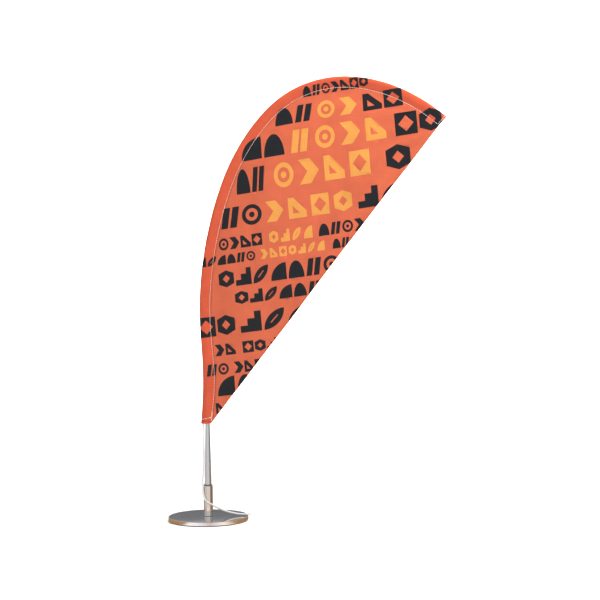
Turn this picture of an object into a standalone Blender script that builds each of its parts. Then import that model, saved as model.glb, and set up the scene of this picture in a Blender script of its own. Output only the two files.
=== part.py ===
"""Table-top teardrop flag.

A steel disc base with a bushed socket, a tapered mast that turns in the bush and
lifts out of it, and a bent glass-fibre rod that carries the flag in a sewn sleeve.
The origin is the centre of the base's underside, the flag lies in the XZ plane and
runs out towards +X, and its front faces -Y.
"""
import math

import bmesh
import bpy
from mathutils import Vector

MM = 0.001

# Clearances
TOUCH_GAP = 0.3 * MM      # between faces that rest on each other
PUSH_FIT = 0.15 * MM      # radial, between pieces that are pushed or pressed together
RUNNING_FIT = 0.2 * MM    # radial, between the turning mast and its bush

# Weighted base
BASE_DIAMETER = 80 * MM
BASE_THICKNESS = 3.7 * MM
BASE_EDGE_RADIUS = 0.4 * MM
PAD_INSET = 1.5 * MM      # the pad's edge inside the base's rim
PAD_THICKNESS = 0.5 * MM

# Countersunk screw that holds the socket on the base
SCREW_DIAMETER = 4 * MM
SCREW_HEAD_RIM = 1.75 * MM   # the head's overhang past the shank, and its cone's height
SCREW_GRIP = 5 * MM          # thread inside the socket's foot
SCREW_RECESS = 0.3 * MM      # head below the underside of the base
HEX_ACROSS_FLATS = 2.5 * MM
HEX_DEPTH = 1.3 * MM

# Tapered mast and the glass-fibre rod that its top holds in a ferrule
MAST_FOOT_DIAMETER = 6.6 * MM
MAST_TOP_HEIGHT = 127 * MM
MAST_WALL = 0.3 * MM
FOOT_PLUG_FLANGE = 1 * MM
FOOT_PLUG_STEM = 7 * MM
ROD_DIAMETER = 2 * MM
ROD_TIP_DIAMETER = 1.6 * MM
ROD_FREE_LENGTH = 486.5 * MM   # along the bend, above the mast
FERRULE_STEM = 18 * MM
FERRULE_WALL = 0.3 * MM
FERRULE_FLANGE_SETBACK = 0.1 * MM
FERRULE_FLANGE_THICKNESS = 0.8 * MM
CAP_GRIP = 6 * MM
CAP_WALL = 0.4 * MM
CAP_NOSE = 1.5 * MM
# Direction of the rod in degrees from upright, at equal shares of the sleeve's length
ROD_HEADINGS = (-1, -5, 3, 11, 18.5, 30.5, 46, 72.5, 97.5, 116.5, 132)

# Socket and its bush, sized from the mast's foot outwards
SOCKET_HEIGHT = 30 * MM
SOCKET_WALL = 0.5 * MM
SOCKET_FLOOR = 7 * MM
BUSH_WALL = 0.4 * MM
BUSH_LIFT = 3 * MM             # the bush's lower end above the socket's floor
BUSH_FLANGE_SETBACK = 0.3 * MM
BUSH_FLANGE_THICKNESS = 0.8 * MM

# Sleeve and panel
SLEEVE_OVERLAP = 29.6 * MM     # from the mast's top down to the hem
CLOTH = 0.45 * MM              # thickness of a sewn layer
CLOTH_ROOM = 0.5 * MM          # play between the cloth and what it holds
CHANNEL_TAPER = 60 * MM        # length above the mast over which the channel narrows
SLEEVE_WIDTH = 11 * MM         # from the leading edge's fold to the seam
HEM_CORD_ROOM = 2.15 * MM      # spare width beside the cord where it enters the hem
LEAD_FLARE = 110 * MM          # length over which the fold widens towards the hem
SEAM_FLARE = 60 * MM           # length over which the seam closes in towards the hem
SEAM_HALF = 0.6 * MM
SEAM_LAP = 1 * MM              # from the seam to the end of the channel
POCKET_END = 2 * MM            # closed end of the sleeve past the rod's cap
POCKET_ROOM = 2 * MM
PANEL_THICKNESS = 0.7 * MM

# Tension cord: a route of hand-chosen points, then the knot at its end
CORD_DIAMETER = 2 * MM
KNOT_DIAMETER = 3.4 * MM
KNOT_LENGTH = 3.8 * MM
CORD_SPACING = 5 * MM
CORD_ROUTE = tuple(Vector(point) * MM for point in (
    (-4.2, 0.0, 100.5),
    (-4.5, -0.2, 97.0),
    (-4.6, -0.7, 91.0),
    (-4.4, -0.9, 84.0),
    (-4.2, -0.9, 76.0),
    (-4.1, -0.8, 67.0),
    (-4.2, -0.9, 58.0),
    (-4.4, -1.4, 48.0),
    (-4.8, -2.4, 40.0),
    (-4.8, -3.5, 34.5),
    (-4.3, -4.3, 29.5),
    (-3.3, -5.1, 25.3),
    (-1.6, -5.9, 21.8),
    (0.8, -6.1, 19.3),
    (3.5, -5.3, 17.5),
    (6.5, -3.6, 15.6),
    (10.1, -1.3, 13.2),
    (14.7, 1.2, 10.6),
    (20.0, 3.6, 8.4),
    (25.4, 5.4, 6.9),
    (30.7, 6.6, 6.1),
    (35.0, 6.9, 5.9),
    (38.2, 6.4, 6.1),
))

# Facets
BASE_SIDES = 72
TURNED_SIDES = 36
ROD_SIDES = 8
ROD_STATIONS = 56
SLEEVE_STATIONS = 44
PATH_STEPS = 440

# Radii that follow from the sizes above
MAST_FOOT_RADIUS = MAST_FOOT_DIAMETER / 2
FERRULE_RADIUS = ROD_DIAMETER / 2 + PUSH_FIT + FERRULE_WALL
MAST_TOP_RADIUS = FERRULE_RADIUS + PUSH_FIT + MAST_WALL
BUSH_BORE = MAST_FOOT_RADIUS + RUNNING_FIT
BUSH_RADIUS = BUSH_BORE + BUSH_WALL
SOCKET_BORE = BUSH_RADIUS + PUSH_FIT
SOCKET_RADIUS = SOCKET_BORE + SOCKET_WALL
CAP_RADIUS = ROD_TIP_DIAMETER / 2 + PUSH_FIT + CAP_WALL
CHANNEL_HALF = max(CAP_RADIUS, ROD_DIAMETER / 2) + CLOTH_ROOM

# Heights and lengths that follow from them
BASE_BOTTOM = PAD_THICKNESS + TOUCH_GAP
BASE_TOP = BASE_BOTTOM + BASE_THICKNESS
SOCKET_BOTTOM = BASE_TOP + TOUCH_GAP
SOCKET_FLOOR_TOP = SOCKET_BOTTOM + SOCKET_FLOOR
SOCKET_TOP = SOCKET_BOTTOM + SOCKET_HEIGHT
FLANGE_BOTTOM = SOCKET_TOP + TOUCH_GAP
FLANGE_TOP = FLANGE_BOTTOM + BUSH_FLANGE_THICKNESS
PLUG_BOTTOM = SOCKET_FLOOR_TOP + TOUCH_GAP
MAST_BOTTOM = PLUG_BOTTOM + FOOT_PLUG_FLANGE + TOUCH_GAP
FERRULE_BOTTOM = MAST_TOP_HEIGHT - FERRULE_STEM
SLEEVE_LENGTH = ROD_FREE_LENGTH + CAP_NOSE + POCKET_ROOM + POCKET_END


def clear_scene():
    for item in list(bpy.data.objects):
        bpy.data.objects.remove(item, do_unlink=True)


def material(name, colour, metallic, roughness):
    made = bpy.data.materials.new(name)
    made.use_nodes = True
    shader = made.node_tree.nodes["Principled BSDF"]
    shader.inputs["Base Color"].default_value = (*colour, 1.0)
    shader.inputs["Metallic"].default_value = metallic
    shader.inputs["Roughness"].default_value = roughness
    return made


def add_object(name, bm, finish, smooth=True):
    """Turn a bmesh into a named, outward-facing, smooth-shaded object."""
    bmesh.ops.recalc_face_normals(bm, faces=bm.faces)
    mesh = bpy.data.meshes.new(name)
    bm.to_mesh(mesh)
    bm.free()
    if smooth:
        mesh.shade_smooth()
        mesh.set_sharp_from_angle(angle=math.radians(35))
    mesh.materials.append(finish)
    made = bpy.data.objects.new(name, mesh)
    bpy.context.scene.collection.objects.link(made)
    return made


def arc(centre_r, centre_z, radius, start, end, steps=3):
    """Points of a rounded edge in a turned profile, angles in degrees."""
    angles = [math.radians(start + (end - start) * i / steps) for i in range(steps + 1)]
    return [(centre_r + radius * math.cos(a), centre_z + radius * math.sin(a)) for a in angles]


def turned(name, profile, finish, sides=TURNED_SIDES):
    """Spin a profile of (radius, height) points about Z. It closes on itself or on the axis."""
    bm = bmesh.new()
    verts = [bm.verts.new((r, 0.0, z)) for r, z in profile]
    on_axis = profile[0][0] == 0.0 and profile[-1][0] == 0.0
    last = len(verts) - 1 if on_axis else len(verts)
    edges = [bm.edges.new((verts[i], verts[(i + 1) % len(verts)])) for i in range(last)]
    bmesh.ops.spin(
        bm, geom=verts + edges, cent=(0, 0, 0), axis=(0, 0, 1), dvec=(0, 0, 0),
        angle=2 * math.pi, steps=sides, use_merge=True)
    bmesh.ops.remove_doubles(bm, verts=bm.verts, dist=0.001 * MM)
    return add_object(name, bm, finish)


def smooth_value(values, share):
    """Read a smooth curve through evenly spaced values, share running from 0 to 1."""
    spans = len(values) - 1
    span = min(int(share * spans), spans - 1)
    t = share * spans - span
    start, end = values[span], values[span + 1]
    slope_in = (end - values[span - 1]) / 2 if span > 0 else end - start
    slope_out = (values[span + 2] - start) / 2 if span < spans - 1 else end - start
    return (start * (2 * t**3 - 3 * t**2 + 1) + end * (3 * t**2 - 2 * t**3)
            + slope_in * (t**3 - 2 * t**2 + t) + slope_out * (t**3 - t**2))


def trace_bend():
    """Follow the rod's headings from the mast's top: positions and headings, evenly spaced."""
    step = SLEEVE_LENGTH / PATH_STEPS
    place = Vector((0.0, 0.0, MAST_TOP_HEIGHT))
    places = [place.copy()]
    headings = [math.radians(ROD_HEADINGS[0])]
    for i in range(PATH_STEPS):
        middle = math.radians(smooth_value(ROD_HEADINGS, (i + 0.5) / PATH_STEPS))
        place += Vector((math.sin(middle), 0.0, math.cos(middle))) * step
        places.append(place.copy())
        headings.append(math.radians(smooth_value(ROD_HEADINGS, (i + 1) / PATH_STEPS)))
    return places, headings


def station(bend, distance):
    """Position, tangent and inward normal at a distance along the bend.

    A negative distance runs straight down from the mast's top.
    """
    places, headings = bend
    if distance <= 0:
        return Vector((0.0, 0.0, MAST_TOP_HEIGHT + distance)), Vector((0, 0, 1)), Vector((1, 0, 0))
    index = min(distance / SLEEVE_LENGTH, 1.0) * PATH_STEPS
    low = min(int(index), PATH_STEPS - 1)
    place = places[low].lerp(places[low + 1], index - low)
    heading = headings[low] + (headings[low + 1] - headings[low]) * (index - low)
    tangent = Vector((math.sin(heading), 0.0, math.cos(heading)))
    normal = Vector((math.cos(heading), 0.0, -math.sin(heading)))
    return place, tangent, normal


def mast_radius(height):
    """Outer radius: straight inside the bush, tapered above it."""
    share = (height - FLANGE_TOP) / (MAST_TOP_HEIGHT - FLANGE_TOP)
    return MAST_FOOT_RADIUS + (MAST_TOP_RADIUS - MAST_FOOT_RADIUS) * min(max(share, 0.0), 1.0)


# Base ----------------------------------------------------------------------------------

def build_base():
    rim = BASE_DIAMETER / 2
    pad = rim - PAD_INSET
    turned("base_pad", [(0, 0), (pad, 0), (pad, PAD_THICKNESS), (0, PAD_THICKNESS)],
           material("black foam", (0.02, 0.02, 0.022), 0.0, 0.9), BASE_SIDES)

    edge = BASE_EDGE_RADIUS
    hole = SCREW_DIAMETER / 2 + TOUCH_GAP
    sink = SCREW_HEAD_RIM + SCREW_RECESS
    profile = [(hole, BASE_TOP)]
    profile += arc(rim - edge, BASE_TOP - edge, edge, 90, 0)
    profile += arc(rim - edge, BASE_BOTTOM + edge, edge, 0, -90)
    profile += [(hole + sink, BASE_BOTTOM), (hole, BASE_BOTTOM + sink)]
    turned("base_disc", profile, material("polished steel", (0.5, 0.51, 0.53), 1.0, 0.12), BASE_SIDES)


def build_screw():
    shank = SCREW_DIAMETER / 2
    bottom = BASE_BOTTOM + SCREW_RECESS
    top = SOCKET_BOTTOM + SCREW_GRIP
    chamfer = SCREW_DIAMETER / 10
    profile = [(0, bottom), (shank + SCREW_HEAD_RIM, bottom), (shank, bottom + SCREW_HEAD_RIM),
               (shank, top - chamfer), (shank - chamfer, top), (0, top)]
    finish = material("zinc steel", (0.6, 0.6, 0.6), 1.0, 0.35)
    screw = turned("base_screw", profile, finish, TURNED_SIDES // 2)

    corner = HEX_ACROSS_FLATS / math.sqrt(3)
    bm = bmesh.new()
    bmesh.ops.create_cone(
        bm, cap_ends=True, segments=6, radius1=corner, radius2=corner, depth=2 * HEX_DEPTH)
    cutter = add_object("hex_key_cutter", bm, finish, smooth=False)
    cutter.location.z = bottom
    cutter.hide_render = True
    cutter.display_type = 'WIRE'
    recess = screw.modifiers.new("hex recess", 'BOOLEAN')
    recess.operation = 'DIFFERENCE'
    recess.object = cutter


def build_socket():
    hole = SCREW_DIAMETER / 2 + TOUCH_GAP
    hole_top = SOCKET_BOTTOM + SCREW_GRIP + TOUCH_GAP
    chamfer = SOCKET_WALL / 3
    profile = [(0, SOCKET_FLOOR_TOP), (SOCKET_BORE, SOCKET_FLOOR_TOP), (SOCKET_BORE, SOCKET_TOP),
               (SOCKET_RADIUS - chamfer, SOCKET_TOP), (SOCKET_RADIUS, SOCKET_TOP - chamfer),
               (SOCKET_RADIUS, SOCKET_BOTTOM), (hole, SOCKET_BOTTOM), (hole, hole_top), (0, hole_top)]
    turned("socket", profile, material("chromed socket", (0.62, 0.6, 0.58), 1.0, 0.15))

    bottom = SOCKET_FLOOR_TOP + BUSH_LIFT
    flange = SOCKET_RADIUS - BUSH_FLANGE_SETBACK
    profile = [(BUSH_BORE, bottom), (BUSH_RADIUS, bottom), (BUSH_RADIUS, FLANGE_BOTTOM),
               (flange, FLANGE_BOTTOM), (flange, FLANGE_TOP), (BUSH_BORE, FLANGE_TOP)]
    turned("socket_bush", profile, material("black nylon", (0.015, 0.015, 0.016), 0.0, 0.5))


# Mast ----------------------------------------------------------------------------------

def build_mast():
    foot, top = MAST_FOOT_RADIUS, MAST_TOP_RADIUS
    profile = [(foot, MAST_BOTTOM), (foot, FLANGE_TOP), (top, MAST_TOP_HEIGHT),
               (top - MAST_WALL, MAST_TOP_HEIGHT), (foot - MAST_WALL, FLANGE_TOP),
               (foot - MAST_WALL, MAST_BOTTOM)]
    turned("mast_tube", profile, material("drawn aluminium", (0.52, 0.51, 0.53), 1.0, 0.3))

    stem = foot - MAST_WALL - PUSH_FIT
    flange_top = PLUG_BOTTOM + FOOT_PLUG_FLANGE
    stem_top = flange_top + FOOT_PLUG_STEM
    profile = [(0, PLUG_BOTTOM), (foot, PLUG_BOTTOM), (foot, flange_top), (stem, flange_top),
               (stem, stem_top), (0, stem_top)]
    turned("mast_foot_plug", profile, material("black polyethylene", (0.02, 0.02, 0.02), 0.0, 0.6))


# Rod -----------------------------------------------------------------------------------

def build_ferrule():
    inner = ROD_DIAMETER / 2 + PUSH_FIT
    flange = MAST_TOP_RADIUS - FERRULE_FLANGE_SETBACK
    seat = MAST_TOP_HEIGHT + TOUCH_GAP
    top = seat + FERRULE_FLANGE_THICKNESS
    profile = [(inner, FERRULE_BOTTOM), (FERRULE_RADIUS, FERRULE_BOTTOM), (FERRULE_RADIUS, seat),
               (flange, seat), (flange, top), (inner, top)]
    turned("rod_ferrule", profile, material("brass", (0.65, 0.47, 0.2), 1.0, 0.3), TURNED_SIDES // 2)


def sweep(bm, rings, close_start):
    """Skin a list of equal rings of points, with a flat face on the last and, if asked, the first."""
    made = [[bm.verts.new(point) for point in ring] for ring in rings]
    count = len(made[0])
    for near, far in zip(made, made[1:]):
        for i in range(count):
            j = (i + 1) % count
            bm.faces.new((near[i], near[j], far[j], far[i]))
    if close_start:
        bm.faces.new(made[0])
    bm.faces.new(made[-1])
    return made


def rod_radius(distance):
    taper = max(distance, 0.0) / ROD_FREE_LENGTH
    return (ROD_DIAMETER + (ROD_TIP_DIAMETER - ROD_DIAMETER) * taper) / 2


def build_rod(bend):
    start = -FERRULE_STEM
    rings = []
    for i in range(ROD_STATIONS + 1):
        distance = start + (ROD_FREE_LENGTH - start) * i / ROD_STATIONS
        place, _, normal = station(bend, distance)
        radius = rod_radius(distance)
        turns = [2 * math.pi * (side + 0.5) / ROD_SIDES for side in range(ROD_SIDES)]
        rings.append([place + (normal * math.cos(a) + Vector((0, math.sin(a), 0))) * radius
                      for a in turns])
    bm = bmesh.new()
    sweep(bm, rings, close_start=True)
    add_object("flex_rod", bm, material("white glass fibre", (0.75, 0.76, 0.72), 0.0, 0.35))


def build_tip_cap(bend):
    """A blind cap pushed over the rod's end, built upright and then turned onto the rod."""
    inner = CAP_RADIUS - CAP_WALL
    outer = CAP_RADIUS
    profile = [(0, TOUCH_GAP), (inner, TOUCH_GAP), (inner, -CAP_GRIP), (outer, -CAP_GRIP)]
    profile += arc(0, CAP_NOSE - outer, outer, 0, 90, 4)[:-1] + [(0, CAP_NOSE)]
    cap = turned("rod_tip_cap", profile, material("tip nylon", (0.02, 0.02, 0.02), 0.0, 0.5),
                 TURNED_SIDES // 2)
    place, _, _ = station(bend, ROD_FREE_LENGTH)
    _, tangent, _ = station(bend, ROD_FREE_LENGTH - CAP_GRIP / 2)
    cap.rotation_euler = (0, math.atan2(tangent.x, tangent.z), 0)
    cap.location = place


# Flag ----------------------------------------------------------------------------------

def flared(run, hem, length, distance):
    """A size that is `hem` at the hem and eases to `run` over a length above it."""
    share = (distance + SLEEVE_OVERLAP) / length
    return run + (hem - run) * (1 - min(share, 1.0)) ** 2


def lead_edge(distance):
    """From the axis out to the fold: at the hem there is room for the cord beside the mast."""
    hem = mast_radius(MAST_TOP_HEIGHT - SLEEVE_OVERLAP) + CORD_DIAMETER + HEM_CORD_ROOM
    return flared(CHANNEL_HALF + CLOTH, hem, LEAD_FLARE, distance)


def seam_edge(distance):
    """From the axis in to the seam: at the hem the seam comes close to the mast."""
    hem = mast_radius(MAST_TOP_HEIGHT - SLEEVE_OVERLAP) + CLOTH_ROOM + SEAM_LAP
    return flared(SLEEVE_WIDTH - CHANNEL_HALF - CLOTH, hem, SEAM_FLARE, distance)


def channel_half(distance):
    """Half of the channel's depth: it fits the mast, then narrows onto the rod."""
    mast = mast_radius(MAST_TOP_HEIGHT + min(distance, 0.0)) + CLOTH_ROOM
    share = min(max(distance / CHANNEL_TAPER, 0.0), 1.0)
    return mast + (CHANNEL_HALF - mast) * share ** 2 * (3 - 2 * share)


def sleeve_section(lead, half, seam, seam_half):
    """Half an ellipse round the rod, then a taper to the seam: (inward, sideways) points."""
    turns = [math.radians(90 + 22.5 * i) for i in range(9)]
    front = [(lead * math.cos(a), half * math.sin(a)) for a in turns]
    waist = (seam * 0.6, half * 0.82)
    back = [(waist[0], -waist[1]), (seam, -seam_half), (seam, seam_half), waist]
    return front + back


def build_sleeve(bend):
    start = -SLEEVE_OVERLAP
    channel_end = SLEEVE_LENGTH - POCKET_END
    outer_rings, inner_rings = [], []
    for i in range(SLEEVE_STATIONS + 1):
        distance = start + (channel_end - start) * i / SLEEVE_STATIONS
        place, _, normal = station(bend, distance)
        lead = lead_edge(distance)
        seam = seam_edge(distance)
        half = channel_half(distance)
        outer = sleeve_section(lead, half + CLOTH, seam, SEAM_HALF)
        inner = sleeve_section(lead - CLOTH, half, seam - SEAM_LAP, SEAM_HALF - CLOTH)
        outer_rings.append([place + normal * n + Vector((0, y, 0)) for n, y in outer])
        inner_rings.append([place + normal * n + Vector((0, y, 0)) for n, y in inner])
    place, _, normal = station(bend, SLEEVE_LENGTH)
    end = sleeve_section(lead_edge(SLEEVE_LENGTH), SEAM_HALF, seam_edge(SLEEVE_LENGTH), SEAM_HALF)
    outer_rings.append([place + normal * n + Vector((0, y, 0)) for n, y in end])

    bm = bmesh.new()
    outer_verts = sweep(bm, outer_rings, close_start=False)
    inner_verts = sweep(bm, inner_rings, close_start=False)
    mouth = list(zip(outer_verts[0], inner_verts[0]))
    for (outer_a, inner_a), (outer_b, inner_b) in zip(mouth, mouth[1:] + mouth[:1]):
        bm.faces.new((outer_a, outer_b, inner_b, inner_a))
    add_object("pole_sleeve", bm, material("orange sleeve", (0.72, 0.13, 0.06), 0.0, 0.7))


def build_panel(bend):
    """The panel's edge follows the seam, and its trailing edge runs straight between the ends."""
    start = -SLEEVE_OVERLAP
    outline = []
    for i in range(SLEEVE_STATIONS + 1):
        distance = start + (SLEEVE_LENGTH - start) * i / SLEEVE_STATIONS
        place, _, normal = station(bend, distance)
        outline.append(place + normal * (seam_edge(distance) + TOUCH_GAP))
    bm = bmesh.new()
    shift = Vector((0, PANEL_THICKNESS / 2, 0))
    front = [bm.verts.new(point - shift) for point in outline]
    back = [bm.verts.new(point + shift) for point in outline]
    bm.faces.new(front)
    bm.faces.new(list(reversed(back)))
    for i in range(len(outline)):
        j = (i + 1) % len(outline)
        bm.faces.new((front[i], front[j], back[j], back[i]))
    add_object("flag_panel", bm, material("printed polyester", (0.72, 0.14, 0.07), 0.0, 0.75),
               smooth=False)


# Cord ----------------------------------------------------------------------------------

def cord_points():
    """Points at even spacing along a smooth curve through the route."""
    fine = []
    spans = len(CORD_ROUTE) - 1
    steps = 20
    for i in range(spans * steps + 1):
        fine.append(smooth_value(CORD_ROUTE, i / (spans * steps)))
    points = [fine[0]]
    for point in fine[1:]:
        if (point - points[-1]).length >= CORD_SPACING:
            points.append(point)
    if (fine[-1] - points[-1]).length < CORD_SPACING / 2:
        points.pop()
    return points + [fine[-1]]


def build_cord():
    points = cord_points()
    curve = bpy.data.curves.new("tension_cord", 'CURVE')
    curve.dimensions = '3D'
    curve.bevel_depth = CORD_DIAMETER / 2
    curve.bevel_resolution = 2
    curve.use_fill_caps = True
    curve.render_resolution_u = 0
    spline = curve.splines.new('POLY')
    spline.points.add(len(points) - 1)
    for slot, point in zip(spline.points, points):
        slot.co = (*point, 1.0)
    finish = material("white elastic cord", (0.85, 0.84, 0.8), 0.0, 0.8)
    curve.materials.append(finish)
    cord = bpy.data.objects.new("tension_cord", curve)
    bpy.context.scene.collection.objects.link(cord)

    radius, half = KNOT_DIAMETER / 2, KNOT_LENGTH / 2
    shoulders = [(radius * math.cos(math.radians(a)), half * math.sin(math.radians(a)))
                 for a in range(-60, 61, 20)]
    knot = turned("cord_knot", [(0, -half)] + shoulders + [(0, half)], finish, 16)
    direction = (points[-1] - points[-2]).normalized()
    knot.rotation_euler = direction.to_track_quat('Z', 'Y').to_euler()
    knot.location = points[-1] + direction * (half + TOUCH_GAP)


def main():
    clear_scene()
    build_base()
    build_screw()
    build_socket()
    build_mast()
    bend = trace_bend()
    build_ferrule()
    build_rod(bend)
    build_tip_cap(bend)
    build_sleeve(bend)
    build_panel(bend)
    build_cord()


main()
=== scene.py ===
"""Looks of a table-top teardrop flag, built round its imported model.

The flag lies in the XZ plane, runs out towards +X and shows its front to -Y. The cloth is
one cut of printed knit: its margin is folded round the rod and sewn down as the sleeve.
All lengths are in metres.
"""

import math

import bmesh
import bpy
import numpy as np
from bpy.props import FloatProperty, FloatVectorProperty, IntProperty, PointerProperty
from bpy.types import Operator, Panel, PropertyGroup
from mathutils import Matrix, Vector, noise
from mathutils.geometry import delaunay_2d_cdt


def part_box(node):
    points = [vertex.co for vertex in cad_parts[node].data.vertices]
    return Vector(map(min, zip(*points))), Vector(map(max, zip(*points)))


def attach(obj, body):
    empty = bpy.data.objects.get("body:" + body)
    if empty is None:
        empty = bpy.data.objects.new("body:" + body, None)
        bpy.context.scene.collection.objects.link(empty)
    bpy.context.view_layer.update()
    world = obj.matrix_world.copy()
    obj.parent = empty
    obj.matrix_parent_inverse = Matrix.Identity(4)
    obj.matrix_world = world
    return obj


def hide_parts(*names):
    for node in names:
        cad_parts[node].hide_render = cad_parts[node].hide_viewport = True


bl_info = {
    "name": "Teardrop flag",
    "version": (1, 0, 0),
    "blender": (4, 5, 0),
    "location": "3D View > Sidebar > Flag",
    "description": "Cloth, stitching, cord and finishes of a table-top teardrop flag",
    "category": "Object",
}

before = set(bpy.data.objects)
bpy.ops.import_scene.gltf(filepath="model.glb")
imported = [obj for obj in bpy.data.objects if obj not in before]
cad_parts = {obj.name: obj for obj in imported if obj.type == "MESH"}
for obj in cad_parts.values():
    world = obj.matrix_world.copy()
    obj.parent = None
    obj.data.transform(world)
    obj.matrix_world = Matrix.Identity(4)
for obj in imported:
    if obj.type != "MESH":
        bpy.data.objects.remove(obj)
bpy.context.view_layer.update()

MM = 0.001

# Places read from the frame
MAST_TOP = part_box("mast_tube")[1].z
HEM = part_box("pole_sleeve")[0].z
OVERLAP = MAST_TOP - HEM
BUSH_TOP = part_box("socket_bush")[1].z
MAST_FOOT_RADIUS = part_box("mast_tube")[1].x
KNOT_LOW, KNOT_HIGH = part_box("cord_knot")

# The rod's bend, and the sleeve measured from the rod's axis
ROD_HEADINGS = (-1, -5, 3, 11, 18.5, 30.5, 46, 72.5, 97.5, 116.5, 132)   # degrees from upright
SLEEVE_LENGTH = 492 * MM
MAST_TOP_RADIUS = 1.9 * MM
FOLD_RUN = 2.3 * MM        # axis to the fold, above the mast
FOLD_HEM = 6.5 * MM        # and at the hem, where the cord comes in
FOLD_FLARE = 110 * MM
SEAM_RUN = 8.7 * MM        # axis to the seam, above the mast
SEAM_HEM = 3.85 * MM
SEAM_FLARE = 60 * MM
CHANNEL_RUN = 2.05 * MM    # half of the sleeve's depth on the rod
CHANNEL_PLAY = 0.7 * MM    # and its play round the mast
CHANNEL_TAPER = 60 * MM
SEAM_LAYER = 0.18 * MM     # middle of each of the two layers at the seam
SEAM_MARGIN = 2.6 * MM     # folded cloth past the seam, on the back
MARGIN_LAYERS = 2.3        # how far behind the flat it lies, in layers
CREASE_DEPTH = 0.55 * MM   # slack creases that run along the sleeve
CREASE_DRIFT = 420 * MM    # length in which a crease crosses the sleeve

# Waves of the flat between the seam and the straight edge
LAZY_EDGE = 0.9 * MM
CORNER_PULL = 0.7 * MM
DRIFT = 1.5 * MM
RIPPLE = 0.4 * MM

# Steps along and across the cloth
SLEEVE_STEP = 3.5 * MM
FIELD_STEP = 3.2 * MM
FIELD_ROW = 0.866          # height of a row of points, in steps
FIELD_GAP = 1.2 * MM       # clear of the margin and of the straight edge
OUTLINE_STEP = 0.5 * MM    # along a printed outline that lies on the sleeve
FOLD_NEAR = 0.4 * MM       # a corner this near the fold lies on it
CUT_NEAR = 1e-4            # corners this many millimetres apart are one

CORD_ROUTE = tuple(Vector(point) * MM for point in (
    (-4.2, 0.0, 100.5), (-4.5, -0.2, 97.0), (-4.6, -0.7, 91.0), (-4.4, -0.9, 84.0),
    (-4.2, -0.9, 76.0), (-4.1, -0.8, 67.0), (-4.2, -0.9, 58.0), (-4.4, -1.4, 48.0),
    (-4.8, -2.4, 40.0), (-4.8, -3.5, 34.5), (-4.3, -4.3, 29.5), (-3.3, -5.1, 25.3),
    (-1.6, -5.9, 21.8), (0.8, -6.1, 19.3), (3.5, -5.3, 17.5), (6.5, -3.6, 15.6),
    (10.1, -1.3, 13.2), (14.7, 1.2, 10.6), (20.0, 3.6, 8.4), (25.4, 5.4, 6.9),
    (30.7, 6.6, 6.1), (35.0, 6.9, 5.9), (38.2, 6.4, 6.1),
))
CORD_DIAMETER = 2 * MM
CORD_SPAN_STEPS = 18
CORD_SIDES = 16
KNOT_REACH = 0.36 * MM
KNOT_STRAND = 0.72 * MM
KNOT_SIDES = 10
KNOT_TAIL = ((0.4, 0.8), (1.1, 0.86), (1.8, 0.82), (2.3, 0.7), (2.6, 0.4))  # along, radius

# Print: rows of shapes. A row has its foot and its height, then groups of shapes as
# (start, end, count, ink), in millimetres along and across the slanted rows.
ROW_SLANT = 6.9     # degrees
STEM_SLANT = 4.5
SHAPE_FILL = {1: 0.9, 2: 0.78}      # width of a shape in its pitch, for each ink
ROW_TURN = 3                        # shapes passed over from a row to the next
PRINT_ROWS = (
    (404, 10.2, ((135, 201, 7, 1),)),
    (380, 17, ((104.5, 143.5, 2, 1), (148.5, 188, 2, 2), (194, 233, 2, 1))),
    (351, 22, ((67, 112, 2, 1), (118.5, 214.5, 4, 2), (223.5, 269, 2, 1))),
    (319, 24.5, ((59, 90, 2, 1), (99, 196, 4, 2), (212, 262, 2, 1))),
    (287, 20.5, ((39.5, 83.5, 2, 1), (88, 175, 4, 2), (181, 224, 2, 1))),
    (266, 12, ((35.5, 81.5, 4, 1), (89, 133, 4, 2), (139, 186, 4, 1))),
    (252, 9.5, ((12, 73, 6, 1), (78.5, 144, 7, 2), (152, 178, 3, 1))),
    (229, 17, ((32.5, 157.5, 7, 1),)),
    (210.5, 13, ((48.5, 137, 6, 1),)),
    (182, 20, ((6, 46, 2, 1), (51.5, 121, 3, 1))),
    (162, 11.5, ((22, 44, 2, 1), (51.5, 88, 3, 1))),
    (143, 11.5, ((12, 35, 2, 1), (40.5, 72, 3, 1))),
    (122, 19, ((21.5, 60, 2, 1),)),
    (104.5, 11, ((18, 38, 2, 1),)),
)

# Sewing: how far a line of stitches stands off the cloth, in thread widths
SEAM_LIFT = 0.22
LOOP_LIFT = 0.2
TACK_LIFT = 0.55
HEM_LINE = 3.6 * MM        # above the mouth
HEM_SLANT = 2.4 * MM       # and higher still at the seam
HEM_SWELL = 1.35           # its thread is this much thicker
TIP_INSET = 1.6 * MM
TIP_START = 0.85           # share of the way from the rod's axis to the fold
# The hem's strip as (outward, upward) in millimetres, outside to inside
HEM_SECTION = ((0.28, 1.2), (0.3, 0.2), (0.12, -0.25), (-0.25, -0.38), (-0.55, -0.1),
               (-0.6, 2.5), (-0.6, 5.2))
HEM_THICKNESS = 0.2 * MM
BEAD_RADIUS = 0.24 * MM
# One stitch as (share of its length, share of its full width)
GRAIN = ((0.0, 0.35), (0.1, 0.8), (0.3, 1.0), (0.7, 1.0), (0.9, 0.8), (1.0, 0.35))

# Stage
ROOM_HALF, ROOM_FRONT, ROOM_BACK, ROOM_TOP, ROOM_BEND = 7.0, -4.0, 3.0, 4.0, 0.8
ROOM_GLOW = 0.39
LAMPS = (       # name, place, target, size, power, spread in degrees
    ("key_softbox", (0.6, -0.55, 0.9), (0.2, 0, 0.38), 0.5, 8.0, 180),
    ("fill_softbox", (-0.6, -1.6, 0.9), (0.1, 0, 0.3), 1.0, 2, 180),
    ("top_softbox", (0.2, -0.05, 1.2), (0.15, 0, 0.3), 0.6, 9, 180),
    ("wall_wash", (0, 1.6, 2.6), (0, 3.0, 0.0), 3.0, 130, 80),
)

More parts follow.
